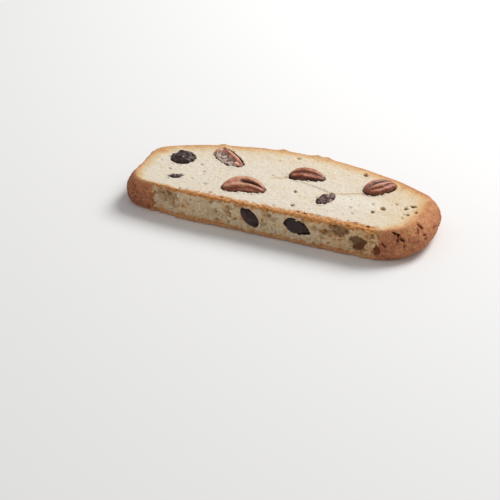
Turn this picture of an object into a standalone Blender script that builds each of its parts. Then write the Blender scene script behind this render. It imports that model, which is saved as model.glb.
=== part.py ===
"""A twice-baked almond cookie: one slice of a flat loaf, lying on a cut face, with pecan halves and raisins.

Sizes are in metres. Slice coordinates start at the left end of the upper cut face: x runs along the slice,
y from the front side to the domed back, and z up from the face that it rests on.
"""

import math
import random

import bmesh
import bpy
from mathutils import Euler, Vector, noise
from mathutils.geometry import delaunay_2d_cdt

MM = 0.001

# The slice: its upper cut face and its thickness.
FACE_LENGTH = 130 * MM
THICKNESS = 14.5 * MM
FRONT_Y = 3.0 * MM
SHOULDER_Y = 37.5 * MM
DOME_Y = 55.0 * MM

# Corners of the face, each with the radius that rounds it.
LEFT_FRONT_CORNER = (Vector((0, 6.5 * MM)), 9 * MM)
FRONT_BEND = Vector((28 * MM, FRONT_Y))
FRONT_BEND_RADIUS = 60 * MM
FRONT_BEND_STEPS = 3
RIGHT_FRONT_CORNER = (Vector((FACE_LENGTH - 0.5 * MM, 1.2 * MM)), 20 * MM)
RIGHT_BACK_CORNER = (Vector((FACE_LENGTH + 0.5 * MM, SHOULDER_Y)), 7 * MM)
LEFT_BACK_CORNER = (Vector((0, SHOULDER_Y)), 7 * MM)
CORNER_STEPS = 7
DOME_STEPS = 24
DOME_STEPS_LEFT_OUT = 2

# How far the baked crust swells out past the face, and where on its height.
SWELL_LEFT = 4.7 * MM
SWELL_RIGHT = 5.5 * MM
SWELL_BACK = 2.8 * MM
SWELL_FRONT = 0.4 * MM
SWELL_HEIGHT_SHARE = 0.36
SWELL_AT_FOOT = 0.55
SWELL_AT_RIGHT_FOOT = 0.15
SWELL_END_POWER = 1.3
SWELL_BACK_POWER = 1.5

# The front side is open crumb between the ends' crusts, set back between two thin lips.
CRUMB_START_X = 12.4 * MM
CRUMB_END_X = 114.7 * MM
CRUMB_EDGE = 2.4 * MM
CRUMB_RECESS = 0.9 * MM
CRUMB_FACING_FRONT = 0.5
LIP_HEIGHT = 1.1 * MM
LIP_FADE_START = 0.5 * LIP_HEIGHT
LIP_FADE_END = 1.6 * LIP_HEIGHT
FOOT_BEVEL = 0.6 * MM
LIP_BEVEL = 0.35 * MM
LIP_DROP = 0.3 * LIP_BEVEL

# Spacing of the mesh, finer where crumb and cracked crust show.
FINE_REACH = 12 * MM
FINE_STEP = 1.8 * MM
COARSE_STEP = 3.0 * MM
UPPER_FACE_STEP = 4.0 * MM
UNDERSIDE_STEP = 9.0 * MM
CAP_MARGIN_SHARE = 0.45
TINY = 1e-9
RING_HEIGHTS = (0.0, 0.045, 0.10, 0.20, 0.34, 0.48, 0.62, 0.76, 0.88, 0.96, 1.0)

# Waviness of the surfaces: (height, wavelength), and where each one's noise starts.
CRUST_WAVES = ((0.45 * MM, 12 * MM), (0.22 * MM, 4.5 * MM))
CRUMB_WAVES = ((0.45 * MM, 4.0 * MM), (0.30 * MM, 2.0 * MM))
FACE_WAVES = ((0.22 * MM, 17 * MM), (0.10 * MM, 6 * MM))
CRUST_SEED = 3.1
CRUMB_SEED = 7.7
FACE_SEED = 5.3

# Clearance between an inclusion and the pocket that it lies in.
POCKET_GAP = 0.45 * MM
CUT_FLUSH_Z = 0.15 * MM

# Pecan halves: centre on the slice, turn, tip to tip, width, rise over the face, depth, bend and roll.
PECANS_ON_FACE = (
    ((51.0, 17.0), 10, 19.4, 10.4, 3.4, 3.6, 2.8, 14),
    ((74.0, 35.4), 7, 16.0, 8.3, 2.6, 3.4, 1.4, 20),
    ((107.0, 36.2), 48, 15.0, 9.8, 3.6, 3.8, 0.4, -6),
    ((35.2, 38.4), -40, 19.5, 10.4, 2.0, 3.6, -1.2, -24),
)
PECANS_ON_UNDERSIDE = (
    ((33.0, 20.5), 24, 19.5, 10.4, 3.6, 1.6, 1.0, 0),
    ((92.0, 38.0), -28, 20.0, 11.0, 3.8, 1.8, -1.2, 0),
)
PECAN_FACE_Z = THICKNESS
PECAN_UNDERSIDE_Z = 1.2 * MM
PECAN_STATIONS = 10
PECAN_SIDES = 16
PECAN_GROOVE = 0.40
PECAN_GROOVE_WIDTH = 21
PECAN_RIDGE = 0.05
PECAN_RIDGES = 6
PECAN_TAPER = 0.10
PECAN_GIRTH_POWER = 2.3

# Raisins: name, centre, the three half sizes, turns about x, y and z, and how wrinkled each is.
RAISINS = (
    ("raisin_face_left", (15.4, 30.8, 13.9), (5.7, 5.9, 2.6), (0, 0, 12), 0.16),
    ("raisin_face_sliver", (19.2, 14.2, 13.7), (3.4, 1.3, 1.2), (0, 0, 24), 0.10),
    ("raisin_face_middle", (87.7, 18.8, 13.5), (5.8, 2.9, 2.2), (0, 0, 68), 0.20),
    ("raisin_front_oval", (58.9, 5.6, 7.4), (6.3, 3.1, 3.5), (0, 47, 0), 0.07),
    ("raisin_front_wedge", (80.4, 6.2, 7.9), (8.6, 3.9, 4.5), (0, 20, 0), 0.20),
    ("raisin_back", (45.0, 54.5, 7.2), (5.2, 3.2, 3.6), (0, -30, 0), 0.14),
    ("raisin_back_right", (98.5, 51.4, 8.0), (4.4, 2.9, 3.0), (0, 20, -18), 0.16),
    ("raisin_under_left", (17.0, 33.5, 1.4), (5.4, 4.2, 2.8), (0, 0, -20), 0.15),
    ("raisin_under_middle", (62.0, 30.0, 1.2), (6.0, 3.8, 2.6), (0, 0, 58), 0.17),
    ("raisin_under_right", (112.0, 21.0, 1.3), (4.8, 4.0, 2.6), (0, 0, 10), 0.16),
)

# Wrinkles of a lump: how many of each size lie across it, and how deep the finer ones are beside the others.
WRINKLES_ACROSS = 1.9
FINE_WRINKLES_ACROSS = 4.1
FINE_WRINKLE_SHARE = 0.5
LUMP_SIDES = 12
LUMP_RINGS = 8
LUMP_SEED_STEP = 3.7

# Air pockets of the open front side: centre and half sizes.
AIR_POCKETS = (
    ((21.0, 2.4, 10.4), (4.2, 3.6, 2.6)),
    ((42.2, 2.2, 7.4), (2.0, 1.6, 2.0)),
    ((99.6, 2.6, 10.6), (4.4, 4.2, 2.8)),
    ((107.9, 2.2, 6.4), (3.2, 4.4, 3.4)),
    ((115.9, 1.6, 5.3), (1.8, 3.4, 2.4)),
    ((113.6, 2.0, 10.6), (1.5, 1.8, 1.3)),
    ((67.3, 2.8, 11.0), (1.6, 1.5, 1.4)),
    ((49.4, 2.8, 10.2), (1.7, 1.5, 1.3)),
)
AIR_POCKET_ROUGHNESS = 0.22
AIR_POCKET_SEED_STEP = 5.3

# Pores: their places on the upper face and the front side, and how many more are strewn over each cut face.
FACE_PORES = (
    (98.4, 45.1), (73.5, 20.4), (76.4, 8.6), (109.6, 15.8), (113.3, 19.6),
    (122.3, 23.1), (124.8, 26.0), (127.0, 22.0), (122.5, 18.6), (65.0, 49.5),
)
FRONT_PORES = ((27.4, 7.1), (49.0, 3.0), (65.9, 5.8), (71.4, 3.4), (34.5, 10.4), (92.6, 5.2), (31.2, 4.0))
CRUST_PORES = ((132.3, 14.5, 7.0), (135.3, 25.0, 8.0), (128.2, 8.6, 5.4), (0.5, 8.0, 11.4))
STREWN_PORES_PER_FACE = 16
PORE_RADIUS = (0.75 * MM, 1.15 * MM)
PORE_DEPTH_SHARE = 0.9
PORE_STRETCH = (0.9, 1.5)
PORE_MOST_TURN = 3
STREW_SEED = 11
STREW_EDGE = 3
STREW_ROOM = 5
INCLUSION_ROOM = 2.5

# Cracks in the crust of the right end and in the front crumb: place, turns, length, width and depth.
CRACKS = (
    ((124.3, 4.6, 11.2), (0, 24, 40), 7.0, 1.1, 4.4),
    ((130.2, 12.6, 11.6), (0, 22, 62), 4.6, 1.0, 3.6),
    ((40.7, 3.2, 11.7), (0, 12, 0), 3.4, 0.8, 3.2),
)

CRACK_SIDES = 6
CRACK_RINGS = 4

# Each material's colour and roughness.
CRUMB_FINISH = ((0.80, 0.66, 0.47, 1), 0.85)
PECAN_FINISH = ((0.30, 0.13, 0.07, 1), 0.45)
RAISIN_FINISH = ((0.03, 0.018, 0.02, 1), 0.35)


def clear_scene():
    for old in list(bpy.data.objects):
        bpy.data.objects.remove(old)


def finish_material(name, colour, roughness):
    made = bpy.data.materials.new(name)
    made.use_nodes = True
    shader = made.node_tree.nodes["Principled BSDF"]
    shader.inputs["Base Color"].default_value = colour
    shader.inputs["Roughness"].default_value = roughness
    shader.inputs["Metallic"].default_value = 0
    return made


def mesh_object(name, bm, parent, material=None):
    """The bmesh as a smooth-shaded object on the slice's empty."""
    bmesh.ops.recalc_face_normals(bm, faces=bm.faces)
    mesh = bpy.data.meshes.new(name)
    bm.to_mesh(mesh)
    bm.free()
    mesh.shade_smooth()
    made = bpy.data.objects.new(name, mesh)
    bpy.context.scene.collection.objects.link(made)
    made.parent = parent
    if material:
        mesh.materials.append(material)
    return made


def ease(value, start, end):
    """0 before start, 1 after end, and a smooth rise between them."""
    share = min(max((value - start) / (end - start), 0), 1)
    return share * share * (3 - 2 * share)


def waves(point, sizes, seed):
    """Smooth uneven relief at a point: the sum of noises of several heights and wavelengths."""
    shift = Vector((seed, 2.7 * seed, -1.3 * seed))
    return sum(height * noise.noise(point / length + shift) for height, length in sizes)


def rounded_corner(before, corner, after, radius, steps=CORNER_STEPS):
    """Points of the arc that rounds a corner, from the side of before to the side of after."""
    to_before = (before - corner).normalized()
    to_after = (after - corner).normalized()
    half_angle = to_before.angle(to_after) / 2
    reach = radius / math.tan(half_angle)
    centre = corner + (to_before + to_after).normalized() * radius / math.sin(half_angle)
    first = (corner + to_before * reach - centre).normalized()
    last = (corner + to_after * reach - centre).normalized()
    return [centre + radius * first.slerp(last, i / steps) for i in range(steps + 1)]


def dome_points():
    """The loaf's domed top, from the right shoulder over to the left one, as an arc of one circle."""
    half_chord = FACE_LENGTH / 2
    rise = DOME_Y - SHOULDER_Y
    radius = (half_chord**2 + rise**2) / (2 * rise)
    half_turn = math.asin(half_chord / radius)
    centre = Vector((half_chord, DOME_Y - radius))
    kept = range(DOME_STEPS_LEFT_OUT, DOME_STEPS - DOME_STEPS_LEFT_OUT + 1)
    turns = [half_turn * (1 - 2 * i / DOME_STEPS) for i in kept]
    return [centre + radius * Vector((math.sin(t), math.cos(t))) for t in turns]


def face_outline():
    """The edge of the upper cut face, anticlockwise from the left front corner."""
    dome = dome_points()
    left_front, left_front_radius = LEFT_FRONT_CORNER
    right_front, right_front_radius = RIGHT_FRONT_CORNER
    right_back, right_back_radius = RIGHT_BACK_CORNER
    left_back, left_back_radius = LEFT_BACK_CORNER
    return (
        rounded_corner(left_back, left_front, FRONT_BEND, left_front_radius)
        + rounded_corner(left_front, FRONT_BEND, right_front, FRONT_BEND_RADIUS, FRONT_BEND_STEPS)
        + rounded_corner(FRONT_BEND, right_front, right_back, right_front_radius)
        + rounded_corner(right_front, right_back, dome[0], right_back_radius)
        + dome
        + rounded_corner(dome[-1], left_back, left_front, left_back_radius)
    )


def wanted_step(point):
    fine = point.y < FINE_REACH or point.x > FACE_LENGTH - FINE_REACH
    return FINE_STEP if fine else COARSE_STEP


def stations(outline):
    """Places spread along the outline, closer together at the front and right end, each with its normal."""
    ends = list(zip(outline, outline[1:] + outline[:1]))
    weights = [(b - a).length / wanted_step((a + b) / 2) for a, b in ends]
    count = round(sum(weights))
    places = []
    passed = 0.0
    for (a, b), weight in zip(ends, weights):
        first = math.ceil(passed * count / sum(weights) - TINY)
        last = math.ceil((passed + weight) * count / sum(weights) - TINY)
        for k in range(first, last):
            share = (k * sum(weights) / count - passed) / weight
            places.append(a.lerp(b, share))
        passed += weight
    normals = []
    for i, place in enumerate(places):
        along = (places[(i + 1) % len(places)] - places[i - 1]).normalized()
        normals.append(Vector((along.y, -along.x)))
    return list(zip(places, normals))


def crumb_share(place, normal):
    """1 on the open crumb of the front side, 0 on crust."""
    if normal.y > -CRUMB_FACING_FRONT:
        return 0.0
    half = CRUMB_EDGE / 2
    rise = ease(place.x, CRUMB_START_X - half, CRUMB_START_X + half)
    return rise * (1 - ease(place.x, CRUMB_END_X - half, CRUMB_END_X + half))


def swell(normal, height_share):
    """How far crust stands out past the face's edge at a share of the thickness."""
    rightward = max(normal.x, 0) ** SWELL_END_POWER
    most = (
        SWELL_LEFT * max(-normal.x, 0) ** SWELL_END_POWER
        + SWELL_RIGHT * rightward
        + SWELL_BACK * max(normal.y, 0) ** SWELL_BACK_POWER
        + SWELL_FRONT * max(-normal.y, 0)
    )
    if height_share > SWELL_HEIGHT_SHARE:
        fall = (height_share - SWELL_HEIGHT_SHARE) / (1 - SWELL_HEIGHT_SHARE)
        return most * (1 - fall**2)
    fall = 1 - height_share / SWELL_HEIGHT_SHARE
    at_foot = SWELL_AT_FOOT + (SWELL_AT_RIGHT_FOOT - SWELL_AT_FOOT) * rightward
    return most * (1 - (1 - at_foot) * fall**2)


def side_point(place, normal, height_share):
    """A point of the slice's side: swollen crust, or crumb set back between its lips."""
    z = THICKNESS * height_share
    flat = Vector((place.x, place.y, z))
    crumb = crumb_share(place, normal)
    between_lips = ease(z, LIP_FADE_START, LIP_FADE_END) * (
        1 - ease(z, THICKNESS - LIP_FADE_END, THICKNESS - LIP_FADE_START)
    )
    crust_out = swell(normal, height_share) + waves(flat, CRUST_WAVES, CRUST_SEED)
    crumb_out = -CRUMB_RECESS * between_lips + waves(flat, CRUMB_WAVES, CRUMB_SEED)
    out = crust_out * (1 - crumb) + crumb_out * crumb
    if height_share == 0:
        out -= FOOT_BEVEL
    if height_share == 1:
        out -= LIP_BEVEL
        z -= LIP_DROP
    return Vector((place.x + normal.x * out, place.y + normal.y * out, z))


def inside(point, loop, margin):
    """Whether a point lies within a convex anticlockwise loop, at least margin from its edge."""
    for a, b in zip(loop, loop[1:] + loop[:1]):
        along = b - a
        if along.cross(point - a) < margin * along.length:
            return False
    return True


def grid_inside(loop, step, margin):
    """Points of a triangular grid over the region within a loop."""
    low_x = min(p.x for p in loop)
    high_x = max(p.x for p in loop)
    low_y = min(p.y for p in loop)
    high_y = max(p.y for p in loop)
    row_step = step * math.sqrt(3) / 2
    found = []
    for row in range(int((high_y - low_y) / row_step) + 1):
        for column in range(int((high_x - low_x) / step) + 1):
            x = low_x + (column + 0.5 * (row % 2)) * step
            point = Vector((x, low_y + row * row_step))
            if inside(point, loop, margin):
                found.append(point)
    return found


def add_cap(bm, rim, step, height_at):
    """Closes a ring of vertices with a triangulated face whose height follows height_at."""
    loop = [Vector((v.co.x, v.co.y)) for v in rim]
    inner = grid_inside(loop, step, CAP_MARGIN_SHARE * step)
    triangles = delaunay_2d_cdt(loop + inner, [], [list(range(len(loop)))], 1, TINY)[2]
    verts = list(rim) + [bm.verts.new((p.x, p.y, height_at(p))) for p in inner]
    for triangle in triangles:
        bm.faces.new([verts[i] for i in triangle])


def upper_face_height(point):
    return THICKNESS + waves(Vector((point.x, point.y, 0)), FACE_WAVES, FACE_SEED)


def make_dough(parent, material):
    """The baked dough: rings of side points from the foot to the lip, closed by the two cut faces."""
    bm = bmesh.new()
    along = stations(face_outline())
    rings = [
        [bm.verts.new(side_point(place, normal, share)) for place, normal in along]
        for share in RING_HEIGHTS
    ]
    for lower, upper in zip(rings, rings[1:]):
        for i in range(len(lower)):
            bm.faces.new((lower[i - 1], lower[i], upper[i], upper[i - 1]))
    add_cap(bm, rings[0], UNDERSIDE_STEP, lambda point: 0.0)
    add_cap(bm, rings[-1], UPPER_FACE_STEP, upper_face_height)
    return mesh_object("biscuit", bm, parent, material)


def pecan_radius(angle, share, groove):
    """Outline of a pecan half across its length: round, with a furrow along its back and faint ridges."""
    turn = math.degrees(angle) - 90
    if turn > 180:
        turn -= 360
    deep = math.exp(-((turn / PECAN_GROOVE_WIDTH) ** 2)) * (1 - share**4)
    ridges = math.cos(math.radians(PECAN_RIDGES * turn)) * (1 - share**2)
    return 1 - groove * deep + (PECAN_RIDGE * ridges if groove else PECAN_RIDGE)


def add_pecan(bm, length, width, rise, depth, bend, grow):
    """A pecan half about the origin, its back up; a pocket's cutter is the same form without the furrow."""
    groove = 0 if grow else PECAN_GROOVE
    rings = []
    for i in range(1, PECAN_STATIONS):
        share = -math.cos(math.pi * i / PECAN_STATIONS)
        girth = math.sqrt(1 - abs(share) ** PECAN_GIRTH_POWER)
        taper = 1 - PECAN_TAPER * share
        ring = []
        for j in range(PECAN_SIDES):
            angle = 2 * math.pi * j / PECAN_SIDES
            radius = pecan_radius(angle, share, groove) * girth * taper
            high = rise if math.sin(angle) > 0 else depth
            y = math.cos(angle) * (width / 2 * radius + grow)
            z = math.sin(angle) * (high * radius + grow)
            x = share * (length / 2 + grow)
            ring.append(bm.verts.new((x, y - bend * share**2, z)))
        rings.append(ring)
    for first, second in zip(rings, rings[1:]):
        for j in range(PECAN_SIDES):
            bm.faces.new((first[j - 1], first[j], second[j], second[j - 1]))
    for ring, side in ((rings[0], -1), (rings[-1], 1)):
        tip = bm.verts.new((side * (length / 2 + grow), -bend, 0))
        for j in range(PECAN_SIDES):
            bm.faces.new((ring[j - 1], ring[j], tip))


def add_lump(bm, half_sizes, roughness, seed, grow):
    """A wrinkled lump about the origin: a ball of the given half sizes, dented by noise."""
    made = bmesh.ops.create_uvsphere(bm, u_segments=LUMP_SIDES, v_segments=LUMP_RINGS, radius=1)["verts"]
    for v in made:
        dent = 1 + roughness * noise.noise(v.co * WRINKLES_ACROSS + Vector((seed, 0, 0)))
        fine = noise.noise(v.co * FINE_WRINKLES_ACROSS + Vector((0, seed, 0)))
        dent += FINE_WRINKLE_SHARE * roughness * fine
        outward = v.co.normalized()
        v.co = Vector([d * half * dent for d, half in zip(outward, half_sizes)]) + outward * grow


def flatten_below(bm, matrix, level):
    """Cuts a lump off flush with the underside: what would lie lower than level is moved up to it."""
    back = matrix.inverted()
    for v in bm.verts:
        place = matrix @ v.co
        if place.z < level:
            place.z = level
            v.co = back @ place


def make_inclusion(name, shape, place, turns, slice_empty, material, cutters):
    """An inclusion, placed by its location and rotation, and the cutter of the pocket that it lies in."""
    turn = Euler([math.radians(t) for t in turns])
    matrix = turn.to_matrix().to_4x4()
    matrix.translation = place
    for grow, role in ((0, name), (POCKET_GAP, name + "_pocket")):
        bm = bmesh.new()
        shape(bm, grow)
        if not grow:
            flatten_below(bm, matrix, CUT_FLUSH_Z)
        made = mesh_object(role, bm, slice_empty, None if grow else material)
        made.location = place
        made.rotation_euler = turn
        if grow:
            hide_as_cutter(made, cutters)


def hide_as_cutter(made, cutters):
    made.hide_render = True
    made.display_type = "WIRE"
    bpy.context.scene.collection.objects.unlink(made)
    cutters.objects.link(made)


def make_pecans(slice_empty, material, cutters):
    """Pecan halves lie back up in the upper face; those of the underside are cut flush with it."""
    faces = (
        (PECANS_ON_FACE, "pecan_face_", PECAN_FACE_Z),
        (PECANS_ON_UNDERSIDE, "pecan_under_", PECAN_UNDERSIDE_Z),
    )
    for rows, name, level in faces:
        for number, (centre, turn, length, width, rise, depth, bend, roll) in enumerate(rows, 1):
            sizes = [size * MM for size in (length, width, rise, depth, bend)]
            make_inclusion(
                f"{name}{number}",
                lambda bm, grow, sizes=sizes: add_pecan(bm, *sizes, grow),
                Vector((centre[0] * MM, centre[1] * MM, level)),
                (roll, 0, turn),
                slice_empty,
                material,
                cutters,
            )


def make_raisins(slice_empty, material, cutters):
    for number, (name, centre, half_sizes, turns, roughness) in enumerate(RAISINS, 1):
        halves = [half * MM for half in half_sizes]
        rest = (halves, roughness, LUMP_SEED_STEP * number)
        make_inclusion(
            name,
            lambda bm, grow, rest=rest: add_lump(bm, *rest, grow),
            Vector(centre) * MM,
            turns,
            slice_empty,
            material,
            cutters,
        )


def make_air_pockets(slice_empty, cutters):
    """Ragged hollows where air bubbles open at the torn front side."""
    for number, (centre, half_sizes) in enumerate(AIR_POCKETS, 1):
        bm = bmesh.new()
        halves = [half * MM for half in half_sizes]
        add_lump(bm, halves, AIR_POCKET_ROUGHNESS, AIR_POCKET_SEED_STEP * number, 0)
        made = mesh_object(f"air_pocket_{number}", bm, slice_empty)
        made.location = Vector(centre) * MM
        hide_as_cutter(made, cutters)


def near_inclusion(x, y, taken):
    return any((x - a) ** 2 + (y - b) ** 2 < reach**2 for a, b, reach in taken)


def strewn_places(draw, taken, count):
    """Random places on a cut face, away from its edge, the inclusions and each other."""
    loop = [p / MM for p in face_outline()]
    places = []
    while len(places) < count:
        x = draw.uniform(STREW_EDGE, FACE_LENGTH / MM - STREW_EDGE)
        y = draw.uniform(STREW_EDGE, DOME_Y / MM - STREW_EDGE)
        if inside(Vector((x, y)), loop, STREW_EDGE) and not near_inclusion(x, y, taken):
            places.append((x, y))
            taken.append((x, y, STREW_ROOM))
    return places


def taken_places(pecans, raisin_side):
    """Places of one cut face that its inclusions fill, each with the room that it needs."""
    rows = [(c[0], c[1], length / 2 + INCLUSION_ROOM) for c, _, length, *_ in pecans]
    rows += [(c[0], c[1], max(h) + INCLUSION_ROOM) for n, c, h, *_ in RAISINS if raisin_side in n]
    return rows


def surface_point(dough, place):
    """The point of the dough's surface nearest to a place given in millimetres."""
    return dough.closest_point_on_mesh(Vector(place) * MM)[1]


def make_pores(dough, slice_empty, cutters):
    """Small pits of the cut faces, the front crumb and the crust."""
    draw = random.Random(STREW_SEED)
    top = THICKNESS / MM
    upper_taken = taken_places(PECANS_ON_FACE, "_face_") + [(x, y, STREW_ROOM) for x, y in FACE_PORES]
    under_taken = taken_places(PECANS_ON_UNDERSIDE, "_under_")
    centres = [(x, y, top) for x, y in FACE_PORES]
    centres += [(x, y, top) for x, y in strewn_places(draw, upper_taken, STREWN_PORES_PER_FACE)]
    centres += [(x, y, 0) for x, y in strewn_places(draw, under_taken, STREWN_PORES_PER_FACE)]
    centres += [(x, (FRONT_Y + CRUMB_RECESS) / MM, z) for x, z in FRONT_PORES]
    centres += list(CRUST_PORES)
    for number, centre in enumerate(centres, 1):
        bm = bmesh.new()
        radius = draw.uniform(*PORE_RADIUS)
        tilt = (draw.uniform(0, PORE_MOST_TURN), draw.uniform(0, PORE_MOST_TURN), 0)
        turn = Euler(tilt).to_matrix().to_4x4()
        bmesh.ops.create_icosphere(bm, subdivisions=1, radius=radius, matrix=turn)
        made = mesh_object(f"pore_{number}", bm, slice_empty)
        made.location = surface_point(dough, centre)
        made.scale = (draw.uniform(*PORE_STRETCH), 1, PORE_DEPTH_SHARE)
        hide_as_cutter(made, cutters)


def make_cracks(dough, slice_empty, cutters):
    """Splits in the crust: thin blades that taper to both ends and inwards."""
    for number, (centre, turns, length, width, depth) in enumerate(CRACKS, 1):
        bm = bmesh.new()
        bmesh.ops.create_uvsphere(bm, u_segments=CRACK_SIDES, v_segments=CRACK_RINGS, radius=0.5)
        bmesh.ops.scale(bm, vec=(width * MM, depth * MM, length * MM), verts=bm.verts)
        made = mesh_object(f"crack_{number}", bm, slice_empty)
        made.location = surface_point(dough, centre)
        made.rotation_euler = [math.radians(t) for t in turns]
        hide_as_cutter(made, cutters)


def cut_hollows(dough, cutters):
    hollows = dough.modifiers.new("hollows", "BOOLEAN")
    hollows.operation = "DIFFERENCE"
    hollows.operand_type = "COLLECTION"
    hollows.collection = cutters
    hollows.solver = "EXACT"


def centre_on_origin(slice_empty):
    """Moves the whole slice so that the middle of its underside's box is the origin."""
    bpy.context.view_layer.update()
    graph = bpy.context.evaluated_depsgraph_get()
    corners = [
        made.matrix_world @ Vector(corner)
        for made in bpy.context.scene.collection.objects
        if made.type == "MESH"
        for corner in made.evaluated_get(graph).bound_box
    ]
    low = [min(c[axis] for c in corners) for axis in range(3)]
    high = [max(c[axis] for c in corners) for axis in range(3)]
    slice_empty.location = (-(low[0] + high[0]) / 2, -(low[1] + high[1]) / 2, -low[2])


def main():
    clear_scene()
    slice_empty = bpy.data.objects.new("slice", None)
    bpy.context.scene.collection.objects.link(slice_empty)
    cutters = bpy.data.collections.new("hollows")
    cutters.hide_render = True
    bpy.context.scene.collection.children.link(cutters)
    dough = make_dough(slice_empty, finish_material("crumb", *CRUMB_FINISH))
    bpy.context.view_layer.update()
    make_pecans(slice_empty, finish_material("pecan", *PECAN_FINISH), cutters)
    make_raisins(slice_empty, finish_material("raisin", *RAISIN_FINISH), cutters)
    make_air_pockets(slice_empty, cutters)
    make_pores(dough, slice_empty, cutters)
    make_cracks(dough, slice_empty, cutters)
    cut_hollows(dough, cutters)
    centre_on_origin(slice_empty)


main()
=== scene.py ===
import math
import random

import bpy
import numpy as np
from mathutils import Euler, Matrix, Vector, noise
from mathutils.bvhtree import BVHTree
from mathutils.geometry import convex_hull_2d


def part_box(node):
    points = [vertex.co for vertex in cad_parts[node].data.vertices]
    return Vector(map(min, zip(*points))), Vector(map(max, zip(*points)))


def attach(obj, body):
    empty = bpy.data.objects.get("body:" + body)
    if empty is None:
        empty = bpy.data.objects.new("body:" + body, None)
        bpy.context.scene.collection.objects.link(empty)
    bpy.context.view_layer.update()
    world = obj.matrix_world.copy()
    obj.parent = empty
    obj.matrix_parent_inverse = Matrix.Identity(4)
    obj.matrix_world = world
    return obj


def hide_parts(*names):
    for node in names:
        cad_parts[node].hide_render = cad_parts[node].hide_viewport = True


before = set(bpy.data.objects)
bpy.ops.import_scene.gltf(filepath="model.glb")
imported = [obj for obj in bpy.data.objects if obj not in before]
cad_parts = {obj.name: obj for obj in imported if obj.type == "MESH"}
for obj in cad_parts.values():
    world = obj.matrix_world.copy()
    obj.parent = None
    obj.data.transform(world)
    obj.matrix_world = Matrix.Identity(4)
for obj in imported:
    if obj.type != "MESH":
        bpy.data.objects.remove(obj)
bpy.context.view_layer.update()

# The slice's own coordinates, in millimetres: x from the left end of the upper cut face, y from the front
# side to the domed back, z up from the face that it lies on. The frame's box says where they start.
MM = 0.001
THICKNESS = 14.5
dough_low = Vector(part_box("biscuit")[0]) / MM
LEFT_SWELL = 4.94
FRONT_REACH = 1.18
slice_start = Vector((dough_low.x + LEFT_SWELL, dough_low.y - FRONT_REACH, dough_low.z))

# The camera looks down at the slice from the front left, from about half a metre.
CAMERA_PLACE = Vector((209.2, -384.0, 260.8))
CAMERA_YAW = math.radians(21.2)
CAMERA_ELEVATION = math.radians(33)
VIEW_ANGLE = math.radians(25)
camera = bpy.data.objects.new("camera", bpy.data.cameras.new("camera"))
camera.data.angle = VIEW_ANGLE
camera.location = (slice_start + CAMERA_PLACE) * MM
camera.rotation_euler = (math.pi / 2 - CAMERA_ELEVATION, 0, CAMERA_YAW)
bpy.context.scene.collection.objects.link(camera)
bpy.context.scene.camera = camera


# The table that the cookie lies on: a plain pale sheet, with soft light from a large lamp up behind it
# and to the right, and an even white surround that fills the shadows.
FLOOR_SIDE = 4.0
FLOOR_COLOUR = (0.90, 0.895, 0.885, 1)
FLOOR_ROUGHNESS = 0.9
SKY_STRENGTH = 0.40
LAMP_SIDE = 0.50
LAMP_POWER = 9.6
LAMP_PLACE = Vector((0.35, 0.62, 0.78))

bpy.ops.object.select_all(action="DESELECT")
bpy.ops.mesh.primitive_plane_add(size=FLOOR_SIDE)
floor = bpy.context.object
floor.name = "floor"
floor_finish = bpy.data.materials.new("pale_floor")
floor_finish.use_nodes = True
floor_shader = floor_finish.node_tree.nodes["Principled BSDF"]
floor_shader.inputs["Base Color"].default_value = FLOOR_COLOUR
floor_shader.inputs["Roughness"].default_value = FLOOR_ROUGHNESS
floor.data.materials.append(floor_finish)

sky = bpy.data.worlds.new("white_surround")
sky.use_nodes = True
sky.node_tree.nodes["Background"].inputs["Color"].default_value = (1, 1, 1, 1)
sky.node_tree.nodes["Background"].inputs["Strength"].default_value = SKY_STRENGTH
bpy.context.scene.world = sky
bpy.context.scene.view_settings.view_transform = "Standard"
lamp = bpy.data.objects.new("soft_lamp", bpy.data.lights.new("soft_lamp", "AREA"))
lamp.data.size = LAMP_SIDE
lamp.data.energy = LAMP_POWER
lamp.location = LAMP_PLACE
lamp.rotation_euler = (-LAMP_PLACE).to_track_quat("-Z", "Y").to_euler()
bpy.context.scene.collection.objects.link(lamp)


# The baked dough: one slice of a flat domed loaf. Its cut faces are pale, fine crumb, its ends and back are
# the loaf's baked crust, and its front side is open crumb between two thin toasted edges.
# Most pairs of numbers are where a smooth change starts and ends.
VOXEL = 0.31 * MM
MOST_TRIANGLES = 188000
SHARPEST_ANGLE = math.radians(55)
MERGE_DISTANCE = 0.002 * MM
FRUIT_REACH = 3.0
LONGEST_FRUIT = 25
LOWEST = 0.02

# The parts of the slice's surface: open crumb in front with its rim and lip, the faces and the crust.
CRUMB_START_X = 11.6
CRUMB_END_X = 115.4
CRUST_BLUR = 0.5
FRONT_PLANE_Y = 3.4
FRONT_SIDE_ENDS = (9.0, 12.0)
FRONT_SIDE_FOOT = (-0.6, 0)
RIM_HEIGHT = 1.9
RIM_BLUR = 0.5
LIP_WIDTH = 1.7
LIP_BLUR = 0.4
FACE_HEIGHTS = (THICKNESS - 1.2, THICKNESS - 0.5)
FACE_TILTS = (-0.2, 0.5)
UNDERSIDE_HEIGHTS = (0.3, 1.0)
UNDERSIDE_TILTS = (0.5, 0.9)
TOP_OUTLINE_HEIGHTS = (THICKNESS - 0.5, THICKNESS + 1)
FOOT_OUTLINE_HEIGHTS = (-1, 0.6)

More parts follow.
